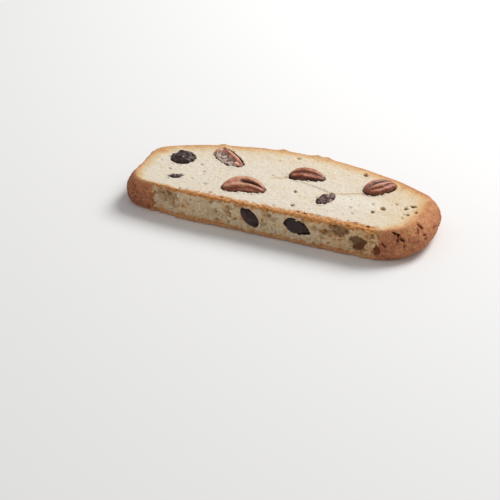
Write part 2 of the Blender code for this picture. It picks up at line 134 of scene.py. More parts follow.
# How much of each kind of unevenness goes into each line and surface: in millimetres, or for the edges of
# holes and pits in shares of their size.
RAGGED_ENDS = {"wander": 2.4, "fine_wander": 1.8, "grain": 0.9}
RAGGED_RIM = {"wander": 0.8, "fine_wander": 0.9, "grain": 0.4}
RAGGED_LIP = {"wander": -0.8, "fine_wander": -1.1, "grain": -0.4}
RAGGED_HOLES = {"fine_wander": 0.34, "coarse_grain": 0.22, "grain": 0.16}
RAGGED_PITS = {"grain": 0.9, "fine_wander": 0.5}
RAGGED_LEDGE = {"fine_wander": 0.35, "coarse_grain": 0.25}
RAGGED_TOAST = {"wander": 0.6, "fine_wander": 0.4}
RAGGED_COLLAR = {"fine_wander": 1.0, "grain": 0.8}
CRUMB_PORES = {"clumps": 0.60, "coarse_pores": -0.75, "small_pores": -0.75, "tiny_pits": -0.4}
CRUMB_GRAINS = {"coarse_grain": 0.40, "grain": 0.34, "fine_grain": 0.16}
CRUMB_WAVES = {"wander": 0.4}
CRUMB_DEPTH = 0.35
RIM_GRAINS = {"fine_wander": 0.60, "coarse_grain": 0.30, "grain": 0.34, "fine_grain": 0.16, "clumps": 0.22}
RIM_SWELL = 0.10
FACE_PORES = {"face_pits": -0.7, "tiny_pits": -0.5}
FACE_GRAINS = {"grain": 0.05, "fine_grain": 0.03, "coarse_grain": 0.07, "waves": 0.07}
FACE_EDGE = (0.2, 1.2)
CRUST_GRAINS = {
    "grain": 0.24,
    "fine_grain": 0.16,
    "coarse_grain": 0.20,
    "waves": 0.24,
    "face_pits": -0.5,
    "tiny_pits": -0.4,
}
UNDERSIDE_GRAINS = {"grain": 0.13, "coarse_grain": 0.10, "face_pits": 0.7, "tiny_pits": 0.5}
UNDERSIDE_DEPTH = 0.14
FEWER_PITS = 0.45
MORE_PITS = 0.55
MORE_PITS_START = (98, 116)

# The dough stays smooth where a nut or raisin touches it, and has a raised ragged collar round it.
CLEAR_OF_FRUIT = (0.55, 1.5)
COLLAR_STARTS = (0.40, 0.70)
COLLAR_ENDS = (1.0, 2.0)
COLLAR_HEIGHT = 0.55
COLLAR_BASE = 0.25

# The knife's ledge across the upper face as points of its line, and the smooth patch in front of it.
LEDGE = (
    (46, 24.0),
    (59.8, 28.4),
    (66.7, 31.3),
    (84.1, 26.6),
    (88.5, 24.4),
    (94.4, 26.1),
    (101.8, 30.0),
    (112, 33.0),
)
LEDGE_DROP = 0.32
LEDGE_BLUR = 0.25
LEDGE_FADE = (-9, -1)
LEDGE_STARTS = (56, 63)
LEDGE_ENDS = (104, 110)
LEFT_STAIN = ((60, 63), (66, 68))
LEFT_STAIN_SHARE = 0.7
RIGHT_STAIN = ((84, 88), (101, 105))
PATCH_CENTRE = Vector((103.5, 21.5))
PATCH_HALF_SIZES = Vector((12.5, 6.4))
PATCH_WANDER = 0.25
PATCH_EDGE = (0.75, 1.15)
PATCH_SMOOTHNESS = 0.8

# Small bumps on the back edge: where they are, their half sizes, and how far they reach up and back.
BUMPS_ON_BACK_EDGE = ((56.0, 54.8), (72.5, 54.6), (77.5, 54.2), (28.0, 49.5), (9.0, 38.5))
BUMP_HALF_X = 2.0
BUMP_HALF_Y = 1.6
BUMP_HEIGHTS = (8, 13)
BUMP_UP = 0.55
BUMP_BACK = 0.5

# The open crumb is torn sideways and up or down: the axis, then the reach, length and seed of its waves.
TEARS = (
    (0, ((1.5, 2.6, 101.0), (0.6, 1.2, 107.0))),
    (2, ((1.3, 2.4, 113.0), (0.5, 1.1, 127.0))),
)
TEAR_CLEAR_OF_FRUIT = (0.8, 2.4)
BITE_REACH = (1.2, 2.6)
BITE_CLEAR_OF_FRUIT = (0.6, 1.5)
BITE_DOWN = 0.55
BITE_IN = 0.60

# Air holes of the open front side: where along it and how high, their half sizes and how deep they go.
AIR_HOLES = (
    ((18.8, 8.8), (5.4, 3.6), 2.2),
    ((26.4, 6.0), (0.8, 0.6), 0.9),
    ((37.0, 9.2), (2.0, 2.6), 0.9),
    ((40.2, 11.0), (0.7, 1.7), 1.1),
    ((42.2, 6.8), (2.1, 2.3), 1.2),
    ((42.8, 2.3), (0.7, 0.5), 0.8),
    ((48.4, 9.0), (1.9, 1.5), 1.2),
    ((48.9, 6.4), (1.2, 1.0), 0.9),
    ((66.8, 10.4), (1.7, 1.3), 1.3),
    ((70.0, 8.8), (1.3, 1.2), 1.1),
    ((65.0, 5.6), (1.7, 1.1), 0.9),
    ((71.0, 2.8), (0.8, 0.5), 0.8),
    ((87.6, 8.2), (0.8, 1.3), 1.0),
    ((97.4, 10.0), (5.2, 3.0), 2.0),
    ((103.2, 8.2), (2.4, 1.6), 1.4),
    ((107.6, 5.8), (3.9, 3.2), 2.6),
    ((115.4, 4.6), (1.5, 2.2), 2.4),
    ((112.4, 10.2), (1.7, 1.4), 1.2),
    ((91.0, 5.0), (1.5, 1.3), 0.9),
    ((31.6, 5.0), (1.3, 1.1), 0.8),
)

# Holes given painted shade inside: where along the front and how high, their radius and how much shade.
HOLES_WITH_PAINTED_SHADE = (
    (107.6, 4.4, 2.6, 0.52),
    (115.4, 4.6, 2.0, 0.6),
    (17.2, 9.6, 3.4, 0.5),
    (22.2, 6.6, 2.0, 0.35),
    (48.6, 8.2, 1.6, 0.45),
    (42.2, 6.6, 1.8, 0.6),
    (40.2, 11.2, 1.0, 0.6),
    (65.0, 5.5, 1.4, 0.5),
    (69.8, 9.2, 1.3, 0.4),
    (91.0, 8.5, 2.2, 0.3),
)

# Cracks in the crust of both ends, as lines through points of the crust, each with its depth.
CRACKS = (
    (((120.4, 4.4, 14.8), (122.9, 5.0, 12.9), (124.7, 5.2, 11.2), (126.4, 5.6, 9.9)), 1.9),
    (((126.4, 5.6, 9.9), (127.3, 4.9, 6.6)), 0.8),
    (((128.2, 15.2, 14.6), (130.1, 14.9, 13.2), (131.5, 15.1, 11.9)), 1.7),
    (((133.0, 14.0, 9.5), (133.5, 14.6, 9.1)), 1.1),
    (((134.9, 22.8, 8.5), (135.1, 23.4, 8.1)), 1.0),
    (((118.2, 1.6, 8.6), (119.6, 1.9, 7.6)), 1.2),
    (((1.6, 6.6, 11.4), (3.4, 5.6, 10.6)), 0.8),
)
CRACK_HALF_WIDTH = 0.62
CRACK_REACH = 2.5
CRACK_WOBBLE = 0.25
CRACK_SHAPE = 0.6
OUT_OF_REACH = 10

# Single pits of the upper face: where each one is, and its radius.
FACE_PITS = (
    (73.1, 21.2, 0.7),
    (76.1, 9.3, 0.7),
    (98.1, 45.8, 1.0),
    (109.3, 16.6, 0.9),
    (113.1, 20.3, 1.2),
    (122.2, 23.8, 1.0),
    (124.9, 26.6, 1.2),
    (124.0, 18.7, 0.8),
    (127.1, 22.8, 0.8),
    (43.1, 7.4, 0.5),
    (28.6, 5.8, 0.5),
)


def select_only(piece):
    bpy.ops.object.select_all(action="DESELECT")
    piece.select_set(True)
    bpy.context.view_layer.objects.active = piece


def own_copy(node, name):
    """A piece with the node's mesh, its loose triangles merged into one skin."""
    piece = bpy.data.objects.new(name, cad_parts[node].data.copy())
    piece.data.name = name
    piece.data.materials.clear()
    bpy.context.scene.collection.objects.link(piece)
    select_only(piece)
    bpy.ops.object.mode_set(mode="EDIT")
    bpy.ops.mesh.select_all(action="SELECT")
    bpy.ops.mesh.remove_doubles(threshold=MERGE_DISTANCE)
    bpy.ops.object.mode_set(mode="OBJECT")
    return piece


def apply_modifiers(piece):
    select_only(piece)
    for modifier in list(piece.modifiers):
        bpy.ops.object.modifier_apply(modifier=modifier.name)


def mesh_arrays(piece):
    """The piece's vertices and normals, in the slice's millimetres."""
    count = len(piece.data.vertices)
    places = np.empty(count * 3, np.float32)
    normals = np.empty(count * 3, np.float32)
    piece.data.vertices.foreach_get("co", places)
    piece.data.vertices.foreach_get("normal", normals)
    places = places.reshape(-1, 3) / MM - np.array(slice_start, np.float32)
    return places, normals.reshape(-1, 3)


def move_vertices(piece, places):
    """Puts the piece's vertices at places given in the slice's millimetres."""
    world = (places + np.array(slice_start, np.float32)) * MM
    piece.data.vertices.foreach_set("co", world.astype(np.float32).ravel())
    piece.data.update()


def paint(piece, name, values):
    """Stores one number for each vertex, for the piece's material to read."""
    layer = piece.data.attributes.new(name, "FLOAT", "POINT")
    layer.data.foreach_set("value", np.asarray(values, np.float32))


def rise(values, start, end):
    """0 before start, 1 after end, and a smooth rise between them."""
    share = np.clip((values - start) / (end - start), 0, 1)
    return share * share * (3 - 2 * share)


def passed(values, level, blur):
    """0 below the level, 1 above it, and a smooth rise between them."""
    return rise(values, level - blur, level + blur)


def around(*distances):
    """1 at a spot, and less further off: each distance is a share of how far the spot reaches."""
    return np.exp(-sum(distance**2 for distance in distances))


def mixed(shares, base=0.0):
    """The base with kinds of unevenness added, each with its share."""
    for kind, share in shares.items():
        base = base + share * unevenness[kind]
    return base


WAVE_SHIFT = (1, 1.7, -0.6)
CELL_SHIFT = (1, 0.4, 2.1)


def uneven(places, length, seed):
    """Smooth noise between about -1 and 1 at each place, with waves of the given length."""
    shift = Vector([factor * seed for factor in WAVE_SHIFT])
    return np.array([noise.noise(Vector(place) / length + shift) for place in places], np.float32)


# The smallest pit's share of the radius and what the largest one has more, and the factors that turn a
# cell's centre into its chance of having a pit.
PIT_LEAST_SIZE = 0.55
PIT_FURTHER_SIZE = 0.45
CELL_MIX = (12.9, 78.2, 37.7)
CELL_MIX_REACH = 437.5


def pits(places, spacing, share, radius, seed, wobble):
    """How deep each place lies in ragged pits: one pit for that share of the cells of a random mosaic."""
    depths = np.zeros(len(places), np.float32)
    shift = Vector([factor * seed for factor in CELL_SHIFT])
    for index, place in enumerate(places):
        distances, centres = noise.voronoi(Vector(place) / spacing + shift)
        mix = sum(value * factor for value, factor in zip(centres[0], CELL_MIX))
        chance = (math.sin(mix) * CELL_MIX_REACH) % 1
        if chance < share:
            reach = radius * (PIT_LEAST_SIZE + PIT_FURTHER_SIZE * chance / share)
            inward = 1 - (distances[0] * spacing * (1 + wobble[index]) / reach) ** 2
            if inward > 0:
                depths[index] = reach * math.sqrt(inward)
    return depths


def reach_of_fruit(places):
    """How far each place lies from the nearest nut or raisin, up to a few millimetres."""
    nodes = [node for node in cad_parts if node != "biscuit"]
    trees = []
    for node in nodes:
        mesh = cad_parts[node].data
        corners = [vertex.co / MM - slice_start for vertex in mesh.vertices]
        faces = [tuple(face.vertices) for face in mesh.polygons]
        trees.append((Vector(corners[0]), BVHTree.FromPolygons(corners, faces)))
    reach = np.full(len(places), FRUIT_REACH, np.float32)
    for index, place in enumerate(places):
        spot = Vector(place)
        for start, tree in trees:
            if (spot - start).length < LONGEST_FRUIT:
                distance = tree.find_nearest(spot, float(reach[index]))[3]
                if distance is not None:
                    reach[index] = min(reach[index], distance)
    return reach


def edge_of(places, level_low, level_high):
    """Corners of the outline round the places between two heights."""
    flat = [Vector(place[:2]) for place in places if level_low < place[2] < level_high]
    return [flat[index] for index in convex_hull_2d(flat)]


def depth_inside(places, outline):
    """How far each place lies inside the outline, and which way is outwards there."""
    corners = np.array(outline, np.float32)
    along = np.roll(corners, -1, axis=0) - corners
    along /= np.linalg.norm(along, axis=1)[:, None]
    outward = np.stack([along[:, 1], -along[:, 0]], axis=1)
    middle = corners.mean(axis=0)
    outward *= np.sign(((corners - middle) * outward).sum(axis=1))[:, None]
    distances = ((corners[None] - places[:, None, :2]) * outward[None]).sum(axis=2)
    nearest = distances.argmin(axis=1)
    return distances.min(axis=1), outward[nearest]


dough = own_copy("biscuit", "baked_dough")
remesh = dough.modifiers.new("even_skin", "REMESH")
remesh.mode = "VOXEL"
remesh.voxel_size = VOXEL
apply_modifiers(dough)
places, normals = mesh_arrays(dough)

top_depth, top_outward = depth_inside(places, edge_of(places, *TOP_OUTLINE_HEIGHTS))
foot_depth, _ = depth_inside(places, edge_of(places, *FOOT_OUTLINE_HEIGHTS))
x, y, z = places.T
height = z / THICKNESS
on_upper_face = rise(z, *FACE_HEIGHTS) * rise(normals[:, 2], *FACE_TILTS)
on_underside = 1 - rise(z, *UNDERSIDE_HEIGHTS)

# Kinds of unevenness. Open crumb is torn and full of pores, the cut faces are fine with small pits, and the
# crust is grainy.
wander = uneven(places, length=5.0, seed=4.0)
fine_wander = uneven(places, length=1.6, seed=9.0)
grain = uneven(places, length=0.9, seed=21.0)
coarse_pores = pits(places, spacing=3.4, share=0.45, radius=1.35, seed=3.0, wobble=0.9 * fine_wander)
small_pores = pits(places, spacing=1.6, share=0.55, radius=0.70, seed=8.0, wobble=0.7 * grain)
clumps = pits(places, spacing=1.9, share=0.85, radius=1.15, seed=52.0, wobble=0.5 * grain)
bites = pits(places, spacing=3.3, share=0.60, radius=1.5, seed=41.0, wobble=0.5 * fine_wander)
face_pits = pits(places, spacing=2.6, share=0.12, radius=0.62, seed=15.0, wobble=0.5 * grain)
face_pits *= FEWER_PITS + MORE_PITS * rise(x, *MORE_PITS_START)
tiny_pits = pits(places, spacing=1.2, share=0.20, radius=0.36, seed=25.0, wobble=0.3 * grain)
unevenness = {
    "wander": wander,
    "fine_wander": fine_wander,
    "grain": grain,
    "coarse_pores": coarse_pores,
    "small_pores": small_pores,
    "clumps": clumps,
    "face_pits": face_pits,
    "tiny_pits": tiny_pits,
    "fine_grain": uneven(places, length=0.55, seed=27.0),
    "coarse_grain": uneven(places, length=2.4, seed=33.0),
    "waves": uneven(places, length=9.0, seed=47.0),
}

ragged_x = mixed(RAGGED_ENDS, x)
in_crumb = passed(ragged_x, CRUMB_START_X, CRUST_BLUR)
in_crumb *= 1 - passed(ragged_x, CRUMB_END_X, CRUST_BLUR)
front_side = in_crumb * (1 - rise(y, *FRONT_SIDE_ENDS)) * (1 - on_upper_face)
front_side *= 1 - rise(-z, *FRONT_SIDE_FOOT)
lower_rim = front_side * (1 - passed(z, mixed(RAGGED_RIM, RIM_HEIGHT), RIM_BLUR))
upper_lip = front_side * passed(z, mixed(RAGGED_LIP, THICKNESS - LIP_WIDTH), LIP_BLUR)
open_crumb = front_side * (1 - np.maximum(lower_rim, upper_lip))
crust = (1 - on_upper_face) * (1 - front_side) * (1 - on_underside)


def air_holes(places, wobble):
    """How deep the torn front side is hollowed at each place."""
    depths = np.zeros(len(places), np.float32)
    for (hole_x, hole_z), (half_x, half_z), depth in AIR_HOLES:
        across = np.hypot((places[:, 0] - hole_x) / half_x, (places[:, 2] - hole_z) / half_z) + wobble
        depths = np.maximum(depths, depth * np.sqrt(np.clip(1 - across**2, 0, 1)))
    return depths


def crack_depths(places, normals, wobble):
    """How deep the crust is split at each place, measured along the surface."""
    depths = np.zeros(len(places), np.float32)
    for points, depth in CRACKS:
        for start, end in zip(points, points[1:]):
            start = np.array(start)
            line = np.array(end) - start
            along = np.clip(((places - start) @ line) / (line @ line), 0, 1)
            away = places - start - along[:, None] * line
            beneath = (away * normals).sum(axis=1)
            away = np.linalg.norm(away - beneath[:, None] * normals, axis=1) + CRACK_WOBBLE * wobble
            away += OUT_OF_REACH * (np.abs(beneath) > CRACK_REACH)
            depths = np.maximum(depths, depth * np.clip(1 - away / CRACK_HALF_WIDTH, 0, 1) ** CRACK_SHAPE)
    return depths


def single_pits(places, wobble):
    """How deep the upper face is pitted at each place."""
    depths = np.zeros(len(places), np.float32)
    for pit_x, pit_y, radius in FACE_PITS:
        across = np.hypot(places[:, 0] - pit_x, places[:, 1] - pit_y) / radius + wobble
        depths = np.maximum(depths, radius * np.sqrt(np.clip(1 - across**2, 0, 1)))
    return depths


holes = air_holes(places, mixed(RAGGED_HOLES))
cracks = crack_depths(places, normals, grain)
single = single_pits(places, mixed(RAGGED_PITS))
crumbly = mixed(CRUMB_PORES) + mixed(CRUMB_GRAINS)
torn = mixed(CRUMB_WAVES, crumbly - holes) - CRUMB_DEPTH
ragged = mixed(RIM_GRAINS, RIM_SWELL)
cut = mixed(FACE_PORES) - single + mixed(FACE_GRAINS)
baked = mixed(CRUST_GRAINS) - cracks
outwards = torn * open_crumb + ragged * np.maximum(lower_rim, upper_lip) + baked * crust
outwards += cut * on_upper_face * rise(top_depth, *FACE_EDGE)
resting = mixed(UNDERSIDE_GRAINS, UNDERSIDE_DEPTH)
outwards -= resting * on_underside * rise(-normals[:, 2], *UNDERSIDE_TILTS)
fruit_distance = reach_of_fruit(places)
outwards *= rise(fruit_distance, *CLEAR_OF_FRUIT)
beside_fruit = rise(fruit_distance, *COLLAR_STARTS) * (1 - rise(fruit_distance, *COLLAR_ENDS)) * on_upper_face
outwards += COLLAR_HEIGHT * np.clip(mixed(RAGGED_COLLAR, COLLAR_BASE), 0, 1) * beside_fruit

# The knife left a shallow ledge across the upper face, and a smooth pale patch in front of it.
ledge_x, ledge_y = np.array(LEDGE, np.float32).T
ledge_line = mixed(RAGGED_LEDGE, np.interp(x, ledge_x, ledge_y))
near_ledge = rise(x, *LEDGE_STARTS) * (1 - rise(x, *LEDGE_ENDS)) * on_upper_face
ledge_shows = LEFT_STAIN_SHARE * rise(x, *LEFT_STAIN[0]) * (1 - rise(x, *LEFT_STAIN[1]))
ledge_shows = ledge_shows + rise(x, *RIGHT_STAIN[0]) * (1 - rise(x, *RIGHT_STAIN[1]))
before_ledge = 1 - passed(y - ledge_line, 0, LEDGE_BLUR)
ledge_fade = rise(y - ledge_line, *LEDGE_FADE)
patch = (places[:, :2] - np.array(PATCH_CENTRE)) / np.array(PATCH_HALF_SIZES)
from_patch = np.linalg.norm(patch, axis=1) + PATCH_WANDER * wander
smooth_patch = (1 - rise(from_patch, *PATCH_EDGE)) * on_upper_face * before_ledge
bumps = sum(
    around((x - bump_x) / BUMP_HALF_X, (y - bump_y) / BUMP_HALF_Y) * rise(z, *BUMP_HEIGHTS)
    for bump_x, bump_y in BUMPS_ON_BACK_EDGE
)

moved = places + normals * (outwards * (1 - PATCH_SMOOTHNESS * smooth_patch))[:, None]
tear = open_crumb * rise(fruit_distance, *TEAR_CLEAR_OF_FRUIT)
for axis, tear_waves in TEARS:
    moved[:, axis] += sum(reach * uneven(places, length, seed) for reach, length, seed in tear_waves) * tear
moved[:, 2] -= LEDGE_DROP * near_ledge * before_ledge * ledge_fade
front_edge = in_crumb * (1 - rise(np.hypot(y - FRONT_PLANE_Y, z - THICKNESS), *BITE_REACH))
front_edge *= rise(fruit_distance, *BITE_CLEAR_OF_FRUIT)
moved[:, 2] -= BITE_DOWN * bites * front_edge
moved[:, 1] += BITE_IN * bites * front_edge
moved[:, 2] += BUMP_UP * bumps
moved[:, 1] += BUMP_BACK * bumps
moved[:, 2] = np.maximum(moved[:, 2], LOWEST)
move_vertices(dough, moved)

# How toasted each part of the surface is, from 0 for pale crumb to 1 for almost black, plus painted shade.
FACE_TOAST = {"least": 0.01, "edge": 0.52, "right_end": 0.10, "patches": 0.05, "back": 0.06, "corner": 0.26}
FACE_EDGE_WIDTHS = {"front": 1.7, "back": 5.6, "ends": 6.2}
FACE_EDGE_POWER = 1.7
RIGHT_END_X = (92, 124)
BACK_HALF_Y = (24, 50)
CRUST_TOAST = {"least": 0.61, "foot": 0.13, "left_end": 0.11, "front_corner": 0.04, "top": -0.12}
CRUST_WANDER = 0.06
CRUST_GRAIN = 0.05
FOOT_ENDS = (0.35, 0.95)
LEFT_END_X = (0, 25)
TOP_STARTS = (0.86, 1.0)
# The open crumb's share for its depths is painted shade: darker where the crumb lies deeper, lighter on its
# clumps.
CRUMB_TOAST_AND_SHADE = {"least": 0.20, "right_end": 0.10, "wander": 0.05, "depths": -0.17}
CRUMB_RIGHT_X = (70, 112)
RIM_TOAST = 0.53
RIM_TOAST_WAVES = {"fine_wander": 0.10, "grain": 0.06}
LIP_TOAST = 0.50
UNDERSIDE_TOAST = {"least": 0.05, "edge": 0.46}
UNDERSIDE_EDGE = (0.5, 4.5)
FRONT_CORNER_X = 119
FRONT_CORNER_HALF = 5
FRONT_CORNER_ENDS = (6, 10)
BACK_CORNER = Vector((4.5, 33.5))
BACK_CORNER_HALF = Vector((3, 2.4))
CRUMB_SHADE_RANGE = (-1.3, 1.0)
CRACK_SHADE_DEPTHS = (0.15, 0.8)
LEDGE_STAIN = 0.20
LEDGE_STAIN_WIDTH = 0.45

backward = np.maximum(top_outward[:, 1], 0)
sideward = np.abs(top_outward[:, 0])
edge_width = FACE_EDGE_WIDTHS["front"] + FACE_EDGE_WIDTHS["back"] * backward
edge_width += FACE_EDGE_WIDTHS["ends"] * sideward
edge_depth = np.maximum(mixed(RAGGED_TOAST, top_depth), 0)
face_toast = FACE_TOAST["edge"] * (1 - np.clip(edge_depth / edge_width, 0, 1)) ** FACE_EDGE_POWER
face_toast += (
    FACE_TOAST["least"]
    + FACE_TOAST["right_end"] * rise(x, *RIGHT_END_X)
    + FACE_TOAST["patches"] * uneven(places, length=14.0, seed=19.0)
    + FACE_TOAST["back"] * rise(y, *BACK_HALF_Y)
)
side_toast = (
    CRUST_TOAST["least"]
    + CRUST_TOAST["foot"] * (1 - rise(height, *FOOT_ENDS))
    + CRUST_TOAST["left_end"] * (1 - rise(x, *LEFT_END_X))
    + CRUST_WANDER * wander
)
front_corner = around((x - FRONT_CORNER_X) / FRONT_CORNER_HALF) * (1 - rise(y, *FRONT_CORNER_ENDS))
side_toast += CRUST_TOAST["front_corner"] * front_corner + CRUST_GRAIN * grain
side_toast += CRUST_TOAST["top"] * rise(height, *TOP_STARTS)
# Painted shade on the open crumb: more toast colour where it lies deeper, less on its raised clumps.
crumb_toast_and_shade = (
    CRUMB_TOAST_AND_SHADE["least"]
    + CRUMB_TOAST_AND_SHADE["right_end"] * rise(x, *CRUMB_RIGHT_X)
    + CRUMB_TOAST_AND_SHADE["wander"] * wander
    + CRUMB_TOAST_AND_SHADE["depths"] * np.clip(crumbly, *CRUMB_SHADE_RANGE)
)
toast_and_shade = face_toast * on_upper_face + side_toast * crust + crumb_toast_and_shade * open_crumb
toast_and_shade += mixed(RIM_TOAST_WAVES, RIM_TOAST) * lower_rim + LIP_TOAST * upper_lip
back_corner = around((x - BACK_CORNER.x) / BACK_CORNER_HALF.x, (y - BACK_CORNER.y) / BACK_CORNER_HALF.y)
toast_and_shade += FACE_TOAST["corner"] * back_corner * on_upper_face
# Painted shade: the crust's cracks are coloured almost black.
toast_and_shade = np.maximum(toast_and_shade, crust * rise(cracks, *CRACK_SHADE_DEPTHS))
under_toast = UNDERSIDE_TOAST["edge"] * (1 - rise(np.maximum(foot_depth, 0), *UNDERSIDE_EDGE))
toast_and_shade += on_underside * (under_toast + UNDERSIDE_TOAST["least"]) * (1 - front_side)
toast_and_shade += LEDGE_STAIN * ledge_shows * on_upper_face * around((y - ledge_line) / LEDGE_STAIN_WIDTH)

# Where the browned lip of the front edge shows on the upper face, and on the side below it.
LIP_TILTS = (0.6, 0.9)
LIP_ENDS = (0.9, 2.6)
LIP_WAVES = {"fine_wander": 1.2, "wander": 0.6}
LIP_ON_FACE = 0.95
LIP_GRAIN = 0.3
frontward = rise(-top_outward[:, 1], *LIP_TILTS) * on_upper_face * in_crumb
lip = frontward * (1 - rise(mixed(LIP_WAVES, y - FRONT_PLANE_Y), *LIP_ENDS))
lip = np.clip(np.maximum(LIP_ON_FACE * lip, upper_lip * (1 - LIP_GRAIN * grain)), 0, 1)

# Painted shade in the hollows: 1 deep in a pit or hole, 0 on the open surface.
FACE_HOLLOW_DEPTHS = (0.55, 1.7)
FACE_HOLLOW_INSIDE = (1.5, 3.0)
FACE_HOLLOW_Y = (6.5, 8.0)
PIT_DEPTHS = (0.15, 0.6)
SINGLE_PIT_DEPTHS = (0.2, 0.7)
TINY_PIT_DEPTHS = (0.08, 0.3)
TINY_PIT_SHADE = 0.7
TINY_PITS_ON_CRUST = 0.5
HOLE_SHADE = 0.06
HOLE_DEPTHS = (0.2, 1.6)
PORE_SHADE = 0.40
COARSE_PORE_DEPTHS = (0.4, 1.3)
PATCH_WHITENESS = 0.6
face_painted_shade = rise(THICKNESS - z, *FACE_HOLLOW_DEPTHS) * rise(top_depth, *FACE_HOLLOW_INSIDE)
face_painted_shade *= rise(y, *FACE_HOLLOW_Y)
face_painted_shade = np.maximum(face_painted_shade * (1 - on_underside), rise(face_pits, *PIT_DEPTHS) * on_upper_face)
front_painted_shade = HOLE_SHADE * rise(holes, *HOLE_DEPTHS)
front_painted_shade += PORE_SHADE * rise(coarse_pores, *COARSE_PORE_DEPTHS)
front_painted_shade += PORE_SHADE * rise(small_pores, *PIT_DEPTHS)
for hole_x, hole_z, half, darkness in HOLES_WITH_PAINTED_SHADE:
    front_painted_shade += darkness * around((x - hole_x) / half, (z - hole_z) / half)
painted_shade = np.clip(np.maximum(face_painted_shade, front_painted_shade * open_crumb), 0, 1)
painted_shade = np.maximum(painted_shade, rise(single, *SINGLE_PIT_DEPTHS) * on_upper_face)
tiny_pits_show = np.maximum(on_upper_face, TINY_PITS_ON_CRUST * crust)
painted_shade = np.maximum(painted_shade, TINY_PIT_SHADE * rise(tiny_pits, *TINY_PIT_DEPTHS) * tiny_pits_show)
paint(dough, "toast_and_shade", np.clip(toast_and_shade, 0, 1))
paint(dough, "painted_shade", painted_shade)
paint(dough, "crumb", np.clip(open_crumb + on_upper_face + on_underside, 0, 1))
paint(dough, "whiter", PATCH_WHITENESS * smooth_patch)
paint(dough, "lip", lip)
thinning = dough.modifiers.new("thinning", "DECIMATE")
thinning.ratio = min(MOST_TRIANGLES / (2 * len(dough.data.polygons)), 1)
apply_modifiers(dough)
select_only(dough)
bpy.ops.object.shade_smooth_by_angle(angle=SHARPEST_ANGLE)

TOAST_COLOURS = (
    (0.00, (0.81, 0.72, 0.585, 1)),
    (0.15, (0.78, 0.62, 0.41, 1)),
    (0.32, (0.75, 0.48, 0.24, 1)),
    (0.48, (0.66, 0.335, 0.135, 1)),
    (0.64, (0.54, 0.205, 0.085, 1)),
    (0.82, (0.38, 0.128, 0.058, 1)),
    (1.00, (0.15, 0.045, 0.022, 1)),
)
LIP_COLOURS = (
    (0.36, (0.40, 0.140, 0.036, 1)),
    (0.50, (0.64, 0.255, 0.066, 1)),
    (0.64, (0.76, 0.39, 0.135, 1)),
)
# Painted shade colours for the hollows and for the small pore spots, and how fully each one covers.
PAINTED_SHADE_COLOUR = (0.36, 0.175, 0.07, 1)
PAINTED_SHADE_COVER = 0.9
PORE_SHADE_COLOUR = (0.30, 0.16, 0.08, 1)
PORE_SHADE_COVER = 0.55
PORE_SIZES = (0.10, 0.24)
PORE_CHANCES = (0.82, 0.90)
WHITER_COLOUR = (0.86, 0.79, 0.67, 1)
MOTTLE = 0.05
SPECKLE = 0.24
SHADES = (0.90, 1.08)
CRUMB_ROUGHNESS = (0.78, 0.94)
CRUMB_BUMP = 0.22
NOISE_RANGE = (0.3, 0.7)


class Finish:
    """A material whose nodes are added and joined by name."""

    def __init__(self, name):
        self.material = bpy.data.materials.new(name)
        self.material.use_nodes = True
        self.nodes = self.material.node_tree.nodes
        self.shader = self.nodes["Principled BSDF"]
        self.coordinates = self.nodes.new("ShaderNodeTexCoord").outputs["Object"]

    def join(self, start, end):
        self.material.node_tree.links.new(start, end)

    def put(self, value, socket):
        """Joins a socket's output, or sets a plain value."""
        if isinstance(value, bpy.types.NodeSocket):
            self.join(value, socket)
        else:
            socket.default_value = value

    def mask(self, name):
        node = self.nodes.new("ShaderNodeAttribute")
        node.attribute_name = name
        return node.outputs["Fac"]

    def grain(self, size, detail=3):
        """Noise with grains of a size in millimetres."""
        node = self.nodes.new("ShaderNodeTexNoise")
        node.inputs["Scale"].default_value = 1 / (size * MM)
        node.inputs["Detail"].default_value = detail
        self.join(self.coordinates, node.inputs["Vector"])
        return node.outputs["Fac"]

    def cells(self, size):
        node = self.nodes.new("ShaderNodeTexVoronoi")
        node.inputs["Scale"].default_value = 1 / (size * MM)
        self.join(self.coordinates, node.inputs["Vector"])
        return node

    def span(self, value, low, high, out_low=0.0, out_high=1.0):
        """The value mapped from one range to another, and held within it."""
        node = self.nodes.new("ShaderNodeMapRange")
        node.inputs["From Min"].default_value = low
        node.inputs["From Max"].default_value = high
        node.inputs["To Min"].default_value = out_low
        node.inputs["To Max"].default_value = out_high
        self.join(value, node.inputs["Value"])
        return node.outputs["Result"]

    def spread(self, value, low, high):
        """Noise stretched from the range that it mostly keeps to another one."""
        return self.span(value, *NOISE_RANGE, low, high)

    def math(self, operation, first, second):
        node = self.nodes.new("ShaderNodeMath")
        node.operation = operation
        self.put(first, node.inputs[0])
        self.put(second, node.inputs[1])
        return node.outputs["Value"]

    def blend(self, share, under, over, kind="MIX"):
        node = self.nodes.new("ShaderNodeMix")
        node.data_type = "RGBA"
        node.blend_type = kind
        self.put(share, node.inputs["Factor"])
        self.put(under, node.inputs[6])
        self.put(over, node.inputs[7])
        return node.outputs[2]

    def ramp(self, value, stops):
        node = self.nodes.new("ShaderNodeValToRGB")
        while len(node.color_ramp.elements) < len(stops):
            node.color_ramp.elements.new(1)
        for element, (place, colour) in zip(node.color_ramp.elements, stops):
            element.position = place
            element.color = colour
        self.join(value, node.inputs["Fac"])
        return node.outputs["Color"]

    def bump(self, height, depth):
        """Fine relief of a depth in millimetres."""
        node = self.nodes.new("ShaderNodeBump")
        node.inputs["Strength"].default_value = 1
        node.inputs["Distance"].default_value = depth * MM
        self.join(height, node.inputs["Height"])
        self.join(node.outputs["Normal"], self.shader.inputs["Normal"])


